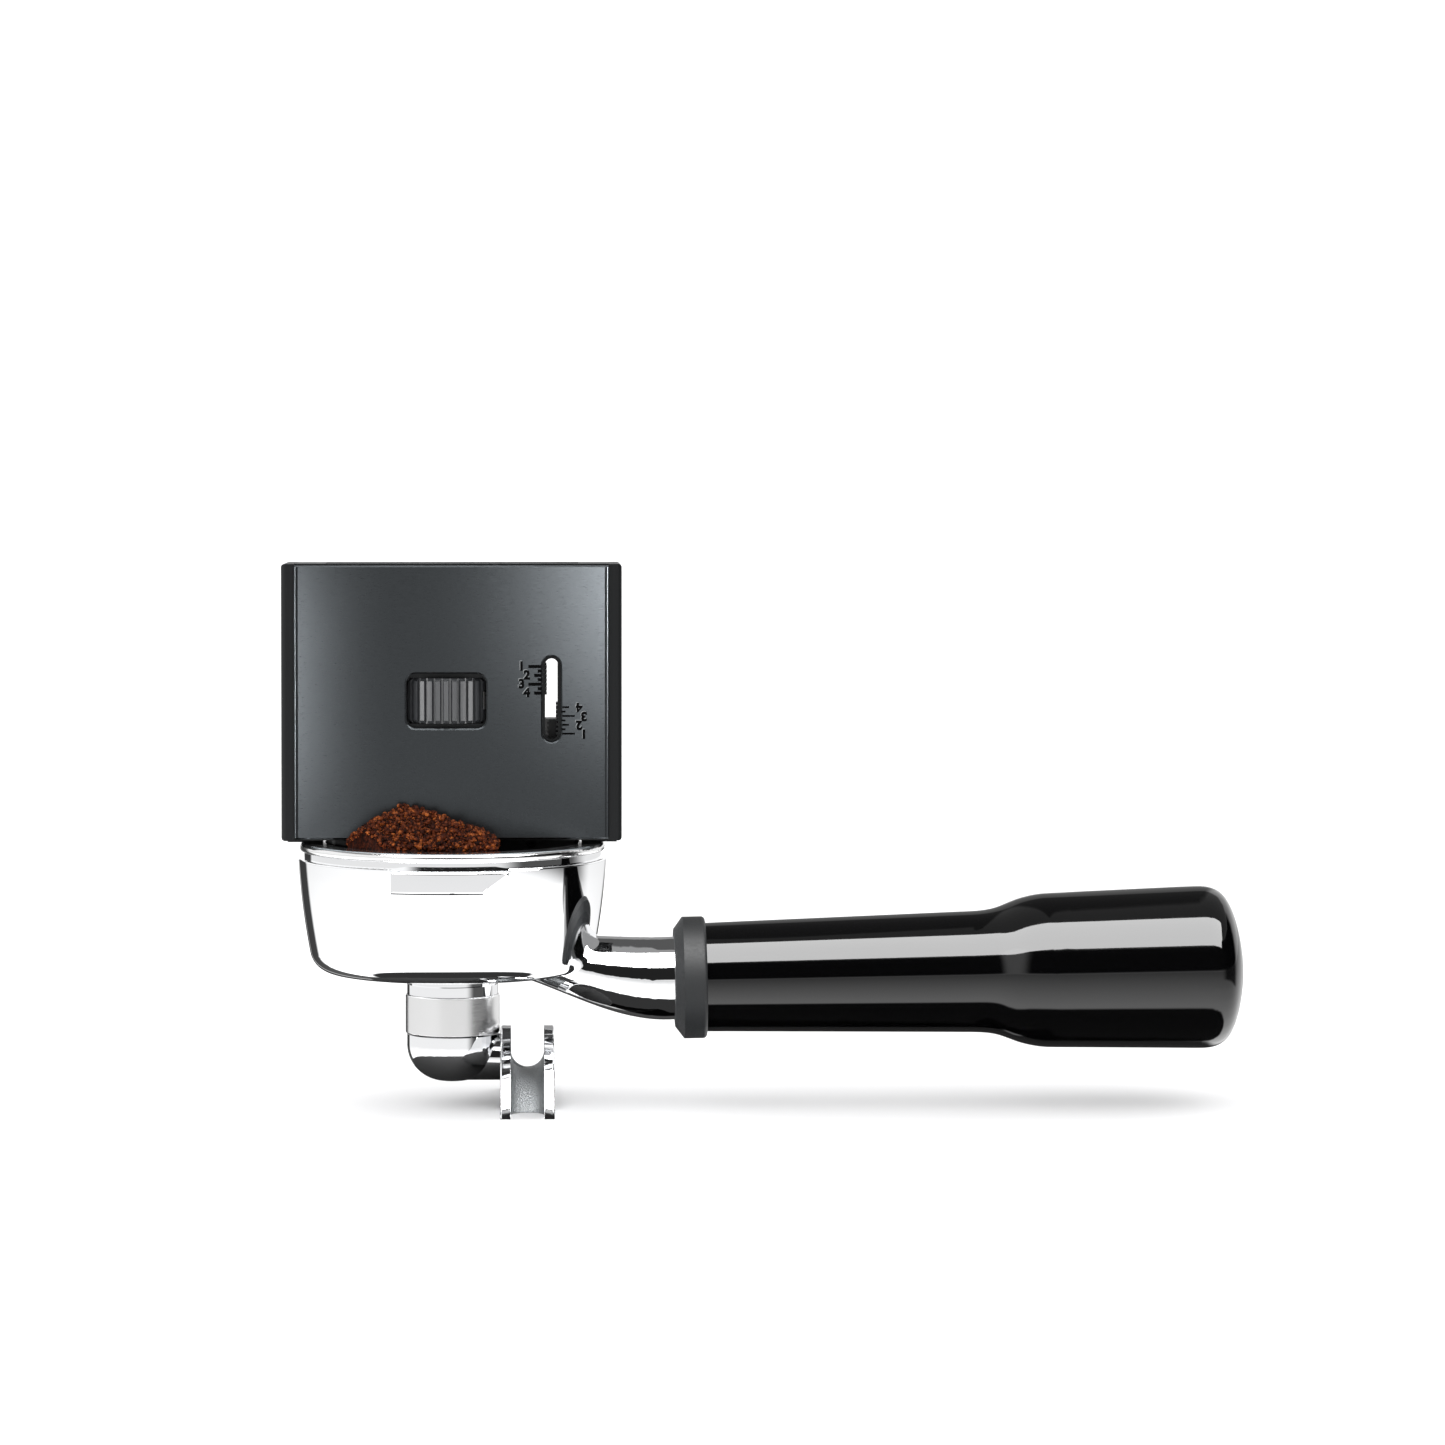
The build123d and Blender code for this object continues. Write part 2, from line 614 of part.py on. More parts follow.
# ---- trimming tool: carrier, blades and thumbwheel ---------------------------------------------
wheel_low_z = window_z - wheel_h / 2
wheel_high_z = window_z + wheel_h / 2
carrier_low_z = blade_tip_z + blade_proud
carrier_high_z = blade_other_tip_z - blade_proud
opening_low_z = wheel_low_z - carrier_up - wheel_side_gap
opening_high_z = wheel_high_z + carrier_down + wheel_side_gap
opening_half_w = wheel_r + wheel_side_gap
blade_bottoms = (blade_tip_z, blade_other_tip_z - blade_h)
blade_screw_zs = (blade_tip_z + blade_screw_rise, blade_other_tip_z - blade_screw_rise)
with BuildPart() as blade_carrier:
    with BuildSketch(Plane.XY.offset(carrier_low_z)):
        RectangleRounded(carrier_w, 2 * carrier_half_t, carrier_corner_r)
    extrude(amount=carrier_high_z - carrier_low_z)
    with BuildSketch(Plane.YZ.offset(-carrier_w / 2)):
        with Locations((0, (carrier_low_z + carrier_high_z) / 2)):
            Rectangle(2 * carrier_half_t, carrier_high_z - carrier_low_z)
        chamfer(vertices(), carrier_nose)
    extrude(amount=carrier_w, mode=Mode.INTERSECT)
    with BuildSketch(Plane.XZ):
        with Locations((window_x, (opening_low_z + opening_high_z) / 2)):
            Rectangle(2 * opening_half_w, opening_high_z - opening_low_z)
        with Locations((slot_x, (index_z + index_window_top_z) / 2)):
            Rectangle(index_window_w, index_window_top_z - index_z)
    extrude(amount=carrier_w, both=True, mode=Mode.SUBTRACT)
    with BuildSketch(Plane.XZ):
        for low_z in blade_bottoms:
            with Locations((0, low_z + blade_h / 2)):
                Rectangle(carrier_w + cut_margin, blade_h)
    extrude(amount=blade_t / 2, both=True, mode=Mode.SUBTRACT)
    with BuildSketch(Plane.XZ):
        for z in blade_screw_zs:
            with Locations((-blade_screw_x, z), (blade_screw_x, z)):
                Circle(screw_r)
    extrude(amount=carrier_half_t, both=True, mode=Mode.SUBTRACT)
    with BuildSketch(Plane.XY.offset(opening_low_z - lead_screw_grip)):
        with Locations((window_x, 0)):
            Circle(lead_screw_r)
    extrude(amount=opening_high_z - opening_low_z + 2 * lead_screw_grip, mode=Mode.SUBTRACT)
blade_carrier.part.label = "blade_carrier"

with BuildPart() as lower_blade:
    with BuildSketch(Plane.XZ):
        with Locations((0, blade_bottoms[0] + blade_h / 2)):
            Rectangle(carrier_w, blade_h)
    extrude(amount=blade_t / 2, both=True)
    chamfer(lower_blade.edges().filter_by(Axis.X).group_by(Axis.Z)[0], blade_bevel)
    with BuildSketch(Plane.XZ):
        with Locations((-blade_screw_x, blade_screw_zs[0]), (blade_screw_x, blade_screw_zs[0])):
            Circle(screw_r)
    extrude(amount=blade_t, both=True, mode=Mode.SUBTRACT)
lower_blade.part.label = "lower_blade"

with BuildPart() as upper_blade:
    mirror(lower_blade.part, about=Plane.XY.offset((blade_tip_z + blade_other_tip_z) / 2))
upper_blade.part.label = "upper_blade"

with BuildPart() as blade_screws:
    for z in blade_screw_zs:
        for x in (-blade_screw_x, blade_screw_x):
            with BuildSketch(Plane(origin=(x, -carrier_half_t, z), z_dir=(0, 1, 0))):
                Circle(screw_r)
            extrude(amount=2 * carrier_half_t)
            with BuildSketch(Plane(origin=(x, -carrier_half_t, z), z_dir=(0, 1, 0))):
                RegularPolygon(hex_socket_r, 6)
            extrude(amount=screw_r, mode=Mode.SUBTRACT)
blade_screws.part.label = "blade_screws"

with BuildPart() as lead_screw:
    with BuildSketch(Plane.XY.offset(opening_low_z - lead_screw_grip)):
        with Locations((window_x, 0)):
            Circle(lead_screw_r)
    extrude(amount=opening_high_z - opening_low_z + 2 * lead_screw_grip)
lead_screw.part.label = "lead_screw"

with BuildPart() as thumbwheel:
    with BuildSketch(Plane(origin=(window_x, 0, wheel_low_z))):
        Circle(wheel_r)
    extrude(amount=wheel_h)
    chamfer(thumbwheel.edges().filter_by(GeomType.CIRCLE), wheel_chamfer)
    with BuildSketch(Plane(origin=(window_x, 0, wheel_low_z))):
        with PolarLocations(wheel_r - wheel_groove_depth / 2 + wheel_groove_over, wheel_ribs):
            Trapezoid(wheel_groove_w, wheel_groove_depth + 2 * wheel_groove_over, wheel_groove_angle,
                      rotation=90)
        Circle(wheel_nut_r)
    extrude(amount=wheel_h, mode=Mode.SUBTRACT)
thumbwheel.part.label = "thumbwheel"

with BuildPart() as wheel_nut:
    with BuildSketch(Plane(origin=(window_x, 0, wheel_low_z))):
        Circle(wheel_nut_r)
        Circle(lead_screw_r + running_gap, mode=Mode.SUBTRACT)
    extrude(amount=wheel_h)
wheel_nut.part.label = "wheel_nut"

# ---- write every piece -------------------------------------------------------------------------
pieces = [
    bowl_casting, basket_spring, spout_collar, spout_washer, spout_elbow, double_spout, handle_stud,
    handle_collar, handle_insert, handle_grip, filter_basket, coffee_puck, loose_grounds, frame_front,
    frame_rear, front_cover, rear_cover, frame_screws, detent_springs, blade_carrier, lower_blade,
    upper_blade, blade_screws, lead_screw, thumbwheel, wheel_nut,
]
for piece in pieces:
    export_step(piece.part, f"parts/{piece.part.label}.step")
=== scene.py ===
"""Looks of the portafilter and its dose-trimming tool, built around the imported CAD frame. Metres."""
import json
import math

import bmesh
import bpy
import numpy as np
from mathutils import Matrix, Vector, noise
from mathutils.bvhtree import BVHTree


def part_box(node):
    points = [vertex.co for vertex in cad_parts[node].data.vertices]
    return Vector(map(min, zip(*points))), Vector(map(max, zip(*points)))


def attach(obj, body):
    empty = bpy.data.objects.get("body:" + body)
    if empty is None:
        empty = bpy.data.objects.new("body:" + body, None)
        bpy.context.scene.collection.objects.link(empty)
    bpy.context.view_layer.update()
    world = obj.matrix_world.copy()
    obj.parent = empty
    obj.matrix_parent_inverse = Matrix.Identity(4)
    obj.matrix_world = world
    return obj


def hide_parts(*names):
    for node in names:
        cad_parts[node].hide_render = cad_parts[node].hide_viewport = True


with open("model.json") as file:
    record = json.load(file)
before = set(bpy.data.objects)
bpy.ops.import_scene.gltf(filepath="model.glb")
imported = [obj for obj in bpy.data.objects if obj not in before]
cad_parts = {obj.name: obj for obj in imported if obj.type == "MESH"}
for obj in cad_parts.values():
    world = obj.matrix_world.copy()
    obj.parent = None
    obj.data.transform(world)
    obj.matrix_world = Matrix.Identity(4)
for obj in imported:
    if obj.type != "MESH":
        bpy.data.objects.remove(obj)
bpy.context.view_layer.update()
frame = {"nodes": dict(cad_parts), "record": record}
nodes = frame["nodes"]
scene = bpy.context.scene
MM = 0.001


# ---- materials ---------------------------------------------------------------------------------
class Shader:
    """A node material under construction: a Principled shader and short ways to add nodes to it."""

    def __init__(self, name, colour, metallic, roughness, **sockets):
        self.material = bpy.data.materials.new(name)
        self.material.use_nodes = True
        self.tree = self.material.node_tree
        self.bsdf = self.tree.nodes["Principled BSDF"]
        self.bsdf.inputs["Base Color"].default_value = (*colour, 1)
        self.bsdf.inputs["Metallic"].default_value = metallic
        self.bsdf.inputs["Roughness"].default_value = roughness
        for socket, value in sockets.items():
            self.bsdf.inputs[socket.replace("_", " ")].default_value = value

    def node(self, kind, **settings):
        made = self.tree.nodes.new(kind)
        for key, value in settings.items():
            if key in made.inputs:
                made.inputs[key].default_value = value
            else:
                setattr(made, key, value)
        return made

    def link(self, source, target):
        self.tree.links.new(source, target)

    def noise(self, scale, detail=4.0, roughness=0.5, stretch=(1, 1, 1)):
        """Noise in the part's own coordinates, in features per metre."""
        place = self.node("ShaderNodeTexCoord")
        mapping = self.node("ShaderNodeMapping")
        mapping.inputs["Scale"].default_value = stretch
        texture = self.node("ShaderNodeTexNoise", Scale=scale, Detail=detail, Roughness=roughness)
        self.link(place.outputs["Object"], mapping.inputs["Vector"])
        self.link(mapping.outputs["Vector"], texture.inputs["Vector"])
        return texture.outputs["Fac"]

    def ramp(self, source, low, high, to_low, to_high):
        """source from low..high becomes to_low..to_high, clamped."""
        scaled = self.node("ShaderNodeMapRange")
        scaled.inputs["From Min"].default_value = low
        scaled.inputs["From Max"].default_value = high
        scaled.inputs["To Min"].default_value = to_low
        scaled.inputs["To Max"].default_value = to_high
        self.link(source, scaled.inputs["Value"])
        return scaled.outputs["Result"]

    def colours(self, source, stops):
        ramp = self.node("ShaderNodeValToRGB")
        elements = ramp.color_ramp.elements
        while len(elements) < len(stops):
            elements.new(0.5)
        for element, (place, colour) in zip(elements, stops):
            element.position = place
            element.color = (*colour, 1)
        self.link(source, ramp.inputs["Fac"])
        return ramp.outputs["Color"]

    def mix(self, share, first, second):
        """first where share is 0, second where it is 1. Each may be a number or a socket."""
        mixed = self.node("ShaderNodeMapRange")
        self.link(share, mixed.inputs["Value"])
        for socket, value in (("To Min", first), ("To Max", second)):
            if isinstance(value, (int, float)):
                mixed.inputs[socket].default_value = value
            else:
                self.link(value, mixed.inputs[socket])
        return mixed.outputs["Result"]

    def bump(self, height, distance, strength):
        bumped = self.node("ShaderNodeBump", Distance=distance, Strength=strength)
        self.link(height, bumped.inputs["Height"])
        return bumped.outputs["Normal"]

    def set(self, socket, source):
        self.link(source, self.bsdf.inputs[socket])


def chrome():
    s = Shader("chrome", (0.90, 0.905, 0.915), 1.0, 0.03)
    s.set("Roughness", s.ramp(s.noise(240, 6), 0.35, 0.75, 0.015, 0.05))
    s.set("Normal", s.bump(s.noise(45, 2), 0.00006, 0.1))
    return s.material


def cast_chrome():
    """The double spout: polished rims on both sides of a channel left rough from the casting."""
    s = Shader("cast_spout", (0.80, 0.81, 0.82), 1.0, 0.16)
    rim_from, rim_to = 0.60, 0.63
    low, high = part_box("double_spout")
    middle, half = (low.x + high.x) / 2, (high.x - low.x) / 2
    parts = s.node("ShaderNodeSeparateXYZ")
    s.link(s.node("ShaderNodeTexCoord").outputs["Object"], parts.inputs["Vector"])
    aside = s.node("ShaderNodeMath", operation="ABSOLUTE")
    centred = s.node("ShaderNodeMath", operation="SUBTRACT")
    s.link(parts.outputs["X"], centred.inputs[0])
    centred.inputs[1].default_value = middle
    s.link(centred.outputs[0], aside.inputs[0])
    rim = s.ramp(aside.outputs[0], half * rim_from, half * rim_to, 0.0, 1.0)
    grain = s.noise(2600, 3, 0.6)
    rough = s.ramp(grain, 0.35, 0.7, 0.34, 0.52)
    s.set("Roughness", s.mix(rim, rough, 0.05))
    s.set("Base Color", s.colours(rim, ((0.0, (0.27, 0.28, 0.285)), (1.0, (0.88, 0.885, 0.895)))))
    bump = s.node("ShaderNodeBump", Distance=0.0004)
    s.link(grain, bump.inputs["Height"])
    s.link(s.mix(rim, 0.9, 0.01), bump.inputs["Strength"])
    s.set("Normal", bump.outputs["Normal"])
    return s.material


def turned(name, colour, roughness, pitch):
    """Turned on a lathe about the vertical: fine rings."""
    s = Shader(name, colour, 1.0, roughness)
    rings = s.noise(pitch, 5, 0.7, (0.04, 0.04, 1.0))
    s.set("Roughness", s.ramp(rings, 0.3, 0.7, roughness * 0.8, roughness * 1.25))
    s.set("Normal", s.bump(rings, 0.00002, 0.35))
    return s.material


def satin(name, colour, roughness):
    """Anodised sheet: a fine grain drawn along the sheet."""
    s = Shader(name, colour, 1.0, roughness)
    grain = s.noise(9000, 3, 0.5, (0.10, 1.0, 1.0))
    darker, lighter = [c * 0.95 for c in colour], [c * 1.05 for c in colour]
    s.set("Base Color", s.colours(grain, ((0.25, darker), (0.75, lighter))))
    s.set("Roughness", s.ramp(grain, 0.3, 0.7, roughness * 0.93, roughness * 1.07))
    s.set("Normal", s.bump(grain, 0.00001, 0.12))
    return s.material


def plain(name, colour, metallic, roughness, grain, depth, **sockets):
    """A moulded or ground surface: fine grain in its roughness and bump."""
    s = Shader(name, colour, metallic, roughness, **sockets)
    fine = s.noise(grain, 6)
    s.set("Roughness", s.ramp(fine, 0.3, 0.7, roughness * 0.85, roughness * 1.15))
    s.set("Normal", s.bump(fine, depth, 0.5))
    return s.material


def coffee():
    """Ground coffee. Each crumb's own tone is in the mesh's tone attribute; the beds under the crumbs
    carry one dark tone, painted shade in the gaps between crumbs.
    """
    s = Shader("coffee", (0.1, 0.03, 0.01), 0.0, 0.6, Specular_IOR_Level=0.04)
    tone = s.node("ShaderNodeAttribute", attribute_name="tone")
    spot = s.node("ShaderNodeMath", operation="ADD")
    s.link(tone.outputs["Fac"], spot.inputs[0])
    s.link(s.ramp(s.noise(1300, 6, 0.7), 0.3, 0.7, -0.34, 0.34), spot.inputs[1])
    s.set("Base Color", s.colours(spot.outputs[0], COFFEE_TONES))
    s.set("Roughness", s.ramp(spot.outputs[0], 0.2, 0.9, 0.75, 0.42))
    s.set("Normal", s.bump(s.noise(3800, 5, 0.6), 0.0002, 0.6))
    return s.material


COFFEE_TONES = ((0.05, (0.008, 0.0012, 0.0003)), (0.35, (0.046, 0.0075, 0.0015)),
                (0.65, (0.125, 0.025, 0.005)), (0.95, (0.33, 0.088, 0.018)))
MATERIALS = {
    "chrome": chrome(),
    "cast_spout": cast_chrome(),
    "brushed_ring": turned("brushed_ring", (0.80, 0.80, 0.80), 0.22, 9000),
    "basket_steel": turned("basket_steel", (0.80, 0.80, 0.80), 0.14, 6000),
    "blade_steel": plain("blade_steel", (0.70, 0.71, 0.72), 1.0, 0.2, 700, 0.00002),
    "spring_steel": plain("spring_steel", (0.5, 0.5, 0.5), 1.0, 0.3, 700, 0.00002),
    "screw_steel": plain("screw_steel", (0.02, 0.02, 0.021), 1.0, 0.4, 700, 0.00002),
    "brass_insert": plain("brass_insert", (0.75, 0.58, 0.3), 1.0, 0.25, 700, 0.00002),
    "seal_rubber": plain("seal_rubber", (0.03, 0.03, 0.03), 0.0, 0.6, 900, 0.00003),
    "collar_plastic": plain("collar_plastic", (0.016, 0.0175, 0.019), 0.0, 0.55, 2600, 0.00002,
                            Specular_IOR_Level=0.3),
    "grip_plastic": plain("grip_plastic", (0.0012, 0.0012, 0.0014), 0.0, 0.05, 300, 0.000004),
    "tool_plastic": plain("tool_plastic", (0.006, 0.0068, 0.0075), 0.0, 0.4, 2600, 0.00002,
                          Specular_IOR_Level=0.3),
    "wheel_plastic": plain("wheel_plastic", (0.035, 0.037, 0.040), 0.0, 0.34, 2600, 0.00002),
    "graphite_metal": satin("graphite_metal", (0.056, 0.061, 0.065), 0.29),
    "coffee": coffee(),
    # near-black: painted shade on the raised numbers and marks of the scale
    "scale_ink": plain("scale_ink", (0.001, 0.001, 0.0012), 0.0, 0.6, 2600, 0.00001,
                       Specular_IOR_Level=0.02),
    # lighter grey: painted highlight along the numbers' upper edges
    "scale_light": plain("scale_light", (0.20, 0.21, 0.215), 0.3, 0.5, 2600, 0.00001),
}
for part in frame["record"]["subparts"]:
    shown = nodes[part["node"]]
    shown.data.materials.clear()
    shown.data.materials.append(MATERIALS[part["material_slot"]])


# ---- helpers -----------------------------------------------------------------------------------
def add_mesh(name, points, faces, slot, body, smooth=True, tones=None):
    mesh = bpy.data.meshes.new(name)
    mesh.from_pydata([tuple(p) for p in points], [], [tuple(f) for f in faces])
    if tones is not None:
        mesh.attributes.new("tone", "FLOAT", "POINT").data.foreach_set("value", tones)
    mesh.materials.append(MATERIALS[slot])
    mesh.polygons.foreach_set("use_smooth", [smooth] * len(mesh.polygons))
    mesh.update()
    made = bpy.data.objects.new(name, mesh)
    scene.collection.objects.link(made)
    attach(made, body)
    return made


def reshaded(node, body, slot, degrees):
    """A copy of the CAD node shown in its place, with crisp edges and even shading between them."""
    shell = bmesh.new()
    shell.from_mesh(nodes[node].data)
    bmesh.ops.remove_doubles(shell, verts=shell.verts, dist=0.001 * MM)
    place = nodes[node].matrix_world
    points = [place @ v.co for v in shell.verts]
    faces = [[v.index for v in f.verts] for f in shell.faces]
    shell.free()
    made = add_mesh(node + "_shell", points, faces, slot, body)
    made.data.set_sharp_from_angle(angle=math.radians(degrees))
    made.modifiers.new("even", "WEIGHTED_NORMAL").keep_sharp = True
    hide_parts(node)
    return made


def surface_of(node):
    """The CAD node's surface in the row frame, for casting rays at."""
    mesh = nodes[node].data
    place = nodes[node].matrix_world
    points = [place @ v.co for v in mesh.vertices]
    return BVHTree.FromPolygons(points, [tuple(p.vertices) for p in mesh.polygons])


def icosphere(subdivisions):
    ball = bmesh.new()
    bmesh.ops.create_icosphere(ball, subdivisions=subdivisions, radius=1)
    points = np.array([v.co[:] for v in ball.verts])
    faces = np.array([[v.index for v in f.verts] for f in ball.faces])
    ball.free()
    return points, faces


spout_shell = reshaded("double_spout", "spout", "cast_spout", 24)
wheel_shell = reshaded("thumbwheel", "thumbwheel", "wheel_plastic", 24)


# ---- rolled edges of the covers ----------------------------------------------------------------
def rolled_edges(name, node, facing):
    """A small round along both upright edges of a cover's face."""
    low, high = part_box(node)
    face_y = low.y if facing < 0 else high.y
    points, faces = [], []
    for side, edge_x in ((-1, low.x), (1, high.x)):
        start = len(points)
        for z in (low.z + EDGE_R, high.z - EDGE_R):
            for turn in range(EDGE_STEPS + 1):
                angle = math.pi * (turn / EDGE_STEPS - 0.5)
                points.append((edge_x - side * EDGE_R + EDGE_R * math.sin(angle),
                               face_y + facing * EDGE_R * 0.8 * math.cos(angle), z))
        ring = EDGE_STEPS + 1
        faces += [(start + i, start + i + 1, start + ring + i + 1, start + ring + i)
                  for i in range(EDGE_STEPS)]
    return add_mesh(name, points, faces, "graphite_metal", "trimmer")


EDGE_R = 0.32 * MM
EDGE_STEPS = 8
rolled_edges("front_cover_edges", "front_cover", -1)
rolled_edges("rear_cover_edges", "rear_cover", 1)


# ---- ground coffee -----------------------------------------------------------------------------
rng = np.random.default_rng(7)
COARSE = icosphere(2)
FINE = icosphere(1)
GRAIN_STEP = 0.35 * MM
# the beds under the crumbs take one dark tone: painted shade in the crevices between crumbs
BED_CREVICE_SHADE_TONE = 0.16


def rough(x, y, size, seed):
    """Layered noise of about -1..1, for a spot of loose coffee with lumps of that size."""
    spot = Vector((x / size, y / size, seed))
    return noise.noise(spot) + 0.5 * noise.noise(spot * 2.3) + 0.25 * noise.noise(spot * 5.1)


def grains(spots, radii):
    """Points, faces and tones of irregular crumbs, one at each spot."""
    points, faces, tones, start = [], [], [], 0
    for spot, radius in zip(spots, radii):
        shape, skin = COARSE if radius > 0.45 * MM else FINE
        crumb = shape * rng.uniform(0.62, 1.25, (len(shape), 1)) * rng.uniform(0.7, 1.3, 3) * radius
        turn = rng.uniform(0, 2 * math.pi)
        cosine, sine_of = math.cos(turn), math.sin(turn)
        spin = np.array([[cosine, -sine_of, 0], [sine_of, cosine, 0], [0, 0, 1]])
        points.append(crumb @ spin.T + spot)
        faces.append(skin + start)
        tones.append(np.full(len(shape), rng.beta(1.6, 2.2)))
        start += len(shape)
    return np.vstack(points), np.vstack(faces), np.concatenate(tones)


def loose_bed(name, node, body, height_at, low, high, crumbs, crumb_r, keep):
    """A bed of loose coffee over a grid: height_at(x, y) gives its top, or None outside it.

    Crumbs are strewn over it. keep(x, y, radius) tells whether a crumb of that radius there is kept.
    """
    xs = np.arange(low.x - GRAIN_STEP, high.x + 2 * GRAIN_STEP, GRAIN_STEP)
    ys = np.arange(low.y - GRAIN_STEP, high.y + 2 * GRAIN_STEP, GRAIN_STEP)
    tops = np.full((len(xs), len(ys)), np.nan)
    for i, x in enumerate(xs):
        for j, y in enumerate(ys):
            top = height_at(x, y)
            if top is not None:
                tops[i, j] = top
    index = {}
    points, faces = [], []

    def corner(i, j):
        if (i, j) not in index:
            index[i, j] = len(points)
            top = tops[i, j]
            points.append((xs[i], ys[j], low.z if np.isnan(top) else top))
        return index[i, j]

    for i in range(len(xs) - 1):
        for j in range(len(ys) - 1):
            if np.isnan(tops[i:i + 2, j:j + 2]).all():
                continue
            faces.append((corner(i, j), corner(i + 1, j), corner(i + 1, j + 1), corner(i, j + 1)))
    # the bed gets the dark tone: painted shade between the crumbs
    bed = add_mesh(name, points, faces, "coffee", body, tones=np.full(len(points), BED_CREVICE_SHADE_TONE))
    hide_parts(node)

    spots, radii = [], []
    inside = np.argwhere(~np.isnan(tops))
    while len(spots) < crumbs:
        i, j = inside[rng.integers(len(inside))]
        x, y = xs[i] + rng.uniform(-0.5, 0.5) * GRAIN_STEP, ys[j] + rng.uniform(-0.5, 0.5) * GRAIN_STEP
        radius = crumb_r[0] + (crumb_r[1] - crumb_r[0]) * rng.random() ** 4
        if keep(x, y, radius):
            spots.append((x, y, tops[i, j] + rng.uniform(-0.3, 0.5) * radius))
            radii.append(radius)
    points, faces, tones = grains(spots, radii)
    add_mesh(name + "_crumbs", points, faces, "coffee", body, tones=tones)


heap_low, heap_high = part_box("loose_grounds")
heap_skin = surface_of("loose_grounds")
basket_low, basket_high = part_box("filter_basket")
bowl_x, bowl_y = (basket_low.x + basket_high.x) / 2, (basket_low.y + basket_high.y) / 2
cover_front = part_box("front_cover")[0].y
DOWN = Vector((0, 0, -1))
HEAP_FOOT = 1.7 * MM
HEAP_SETTLE = 1.2 * MM
TOOL_GAP = 0.25 * MM
HEAP_MAX_R = 28.8 * MM


def heap_top(x, y):
    above = Vector((x, y, heap_high.z + MM))
    near = [heap_skin.ray_cast(above + Vector((dx, 0, 0)), DOWN)[0] for dx in (-1.2 * MM, 0, 1.2 * MM)]
    if near[1] is None:
        return None
    top = sum((hit or near[1]).z for hit in near) / 3
    if top < basket_high.z + HEAP_FOOT:
        return None
    lumps = rough(x, y, 3.4 * MM, 3.0) * 1.1 * MM
    return top - HEAP_SETTLE + lumps + rough(x, y, 1.2 * MM, 8.0) * 0.8 * MM


def clear_of_tool(x, y, radius):
    return y + radius < cover_front - TOOL_GAP and math.hypot(x - bowl_x, y - bowl_y) + radius < HEAP_MAX_R


loose_bed("grounds_heap", "loose_grounds", "grounds", heap_top, heap_low, heap_high, 11000,
          (0.12 * MM, 0.62 * MM), clear_of_tool)

puck_low, puck_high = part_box("coffee_puck")
puck_r = (puck_high.x - puck_low.x) / 2
PUCK_SETTLE = 1.0 * MM


def puck_top(x, y):
    if math.hypot(x - bowl_x, y - bowl_y) > puck_r - GRAIN_STEP:
        return None
    waves = rough(x, y, 6 * MM, 5.0) * 0.25 * MM
    return puck_high.z - PUCK_SETTLE + waves + rough(x, y, 1.6 * MM, 2.0) * 0.15 * MM


def inside_basket(x, y, radius):
    return math.hypot(x - bowl_x, y - bowl_y) + radius < puck_r


loose_bed("puck_top", "coffee_puck", "basket", puck_top, puck_low, puck_high, 5200,
          (0.14 * MM, 0.42 * MM), inside_basket)


# ---- numbers and marks of the scale ------------------------------------------------------------
cover_low, cover_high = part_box("front_cover")
cover_mid_x = (cover_low.x + cover_high.x) / 2
NUMBERS = 4
NUMBER_SIZE = 2.75 * MM
NUMBER_BOLD = 0.15 * MM
NUMBER_DEPTH = 0.02 * MM
NUMBER_LIFT = 0.05 * MM
NUMBER_PITCH = 2.0 * MM
SLOT_X = 22.6 * MM
SLOT_HALF_W = 2.43 * MM
MARK_LENGTHS = (2.8 * MM, 1.5 * MM)
HALF_MARK = 0.7 * MM
MARK_H = 0.66 * MM
MARK_STEPS = 13
MARK_LIFT = 0.04 * MM
OUTSIDE_Y = 30 * MM
BEVEL_W = 0.28 * MM
# for each side of the slot: x of odd and even numbers from the cover's middle, z of number 1 above the
# cover's foot, the step to the next number, the roll of the digits, and which side it is
SCALES = (
    ((15.8 * MM, 17.0 * MM), 39.1 * MM, -NUMBER_PITCH, 0.0, -1),
    ((29.9 * MM, 28.8 * MM), 23.87 * MM, NUMBER_PITCH, math.pi, 1),
)
# how far the painted highlight under the numbers is shifted up and aside
LIGHT_SHIFT = 0.14 * MM


def glyphs(made):
    """One mesh's points and faces from text objects, which are removed."""
    bpy.context.view_layer.update()
    points, faces = [], []
    depsgraph = bpy.context.evaluated_depsgraph_get()
    for glyph in made:
        mesh = bpy.data.meshes.new_from_object(glyph.evaluated_get(depsgraph))
        start = len(points)
        points += [glyph.matrix_world @ v.co for v in mesh.vertices]
        faces += [[start + i for i in p.vertices] for p in mesh.polygons]
        bpy.data.meshes.remove(mesh)
        bpy.data.objects.remove(glyph)
    return points, faces


def digits(name, skin, facing, shift, lift):
    """The numbers 1 to 4 at both edges of the slot, moved by shift along x and z and out by lift."""
    made = []
    for places, first_z, step, roll, _ in SCALES:
        for number in range(NUMBERS):
            x = cover_mid_x + places[number % 2]
            z = cover_low.z + first_z + number * step
            hit = skin.ray_cast(Vector((x, facing * OUTSIDE_Y, z)), Vector((0, -facing, 0)))[0]
            curve = bpy.data.curves.new(name, "FONT")
            curve.body = str(number + 1)
            curve.size = NUMBER_SIZE
            curve.align_x = "CENTER"
            curve.align_y = "CENTER"
            curve.extrude = NUMBER_DEPTH
            curve.offset = NUMBER_BOLD
            glyph = bpy.data.objects.new(name, curve)
            scene.collection.objects.link(glyph)
            glyph.location = (x + shift * facing, hit.y + facing * lift, z + shift)
            glyph.rotation_euler = (math.pi / 2, roll, 0 if facing < 0 else math.pi)
            made.append(glyph)
    return glyphs(made)


